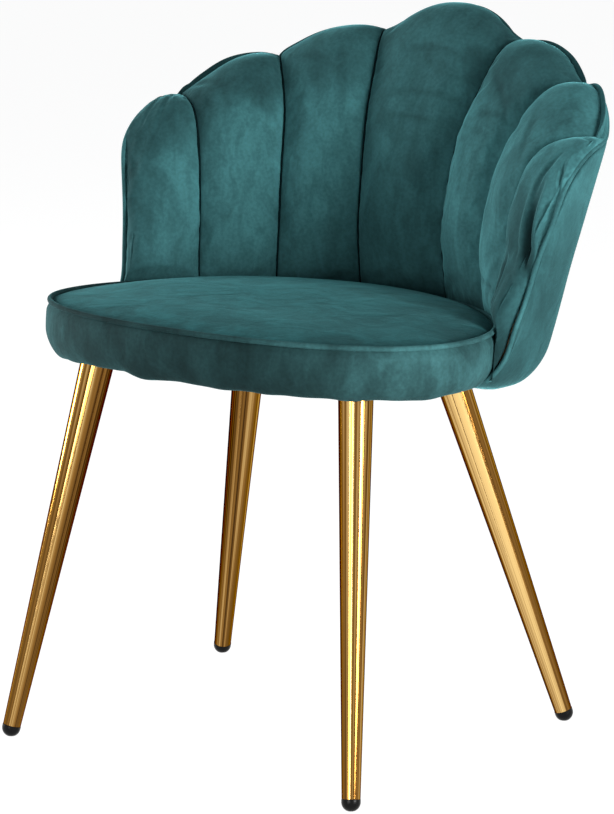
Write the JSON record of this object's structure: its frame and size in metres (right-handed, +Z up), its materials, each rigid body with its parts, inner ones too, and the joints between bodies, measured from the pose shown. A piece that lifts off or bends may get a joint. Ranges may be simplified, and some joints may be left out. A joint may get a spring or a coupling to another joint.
{
  "type": "upholstered dining chair",
  "caption": "Upholstered shell chair with a wrap-round scalloped back of padded petals, a round-cornered piped seat and splayed tapered tube legs with foot caps.",
  "frame": {"origin": "on the floor, under the middle of the whole chair's box", "axes": "+Z up, the seat faces -Y, +X is to the right when looking along +Y, which is the left hand of someone sitting in the chair"},
  "size_m": [0.599, 0.5688, 0.776],
  "materials": {
    "velvet": "short-pile velvet, dark teal, over wadding and foam",
    "foam": "cut polyurethane foam",
    "plywood": "moulded plywood, bare",
    "dust_cloth": "black non-woven cloth",
    "gold_plate": "mirror-bright gold-tone plating on steel tube",
    "steel": "zinc plated",
    "black_plastic": "satin moulded"
  },
  "bodies": {
    "root": {"petal_right_arm": "velvet", "petal_right_side": "velvet", "petal_right_inner": "velvet", "petal_centre": "velvet", "petal_left_inner": "velvet", "petal_left_side": "velvet", "petal_left_arm": "velvet", "back_outer_cover": "velvet", "back_piping": "velvet", "seat_border": "velvet", "seat_top_panel": "velvet", "seat_piping": "velvet", "seat_foam": "foam", "seat_board": "plywood", "back_shell": "plywood", "dust_cover": "dust_cloth", "leg_front_right": "gold_plate", "foot_cap_front_right": "black_plastic", "leg_plate_front_right": "steel", "leg_front_left": "gold_plate", "foot_cap_front_left": "black_plastic", "leg_plate_front_left": "steel", "leg_rear_right": "gold_plate", "foot_cap_rear_right": "black_plastic", "leg_plate_rear_right": "steel", "leg_rear_left": "gold_plate", "foot_cap_rear_left": "black_plastic", "leg_plate_rear_left": "steel", "back_bracket_left": "steel", "back_bracket_centre": "steel", "back_bracket_right": "steel", "leg_screws": "steel", "bracket_screws": "steel", "back_bolts": "steel", "shell_inserts": "steel"}
  },
  "joints": []
}
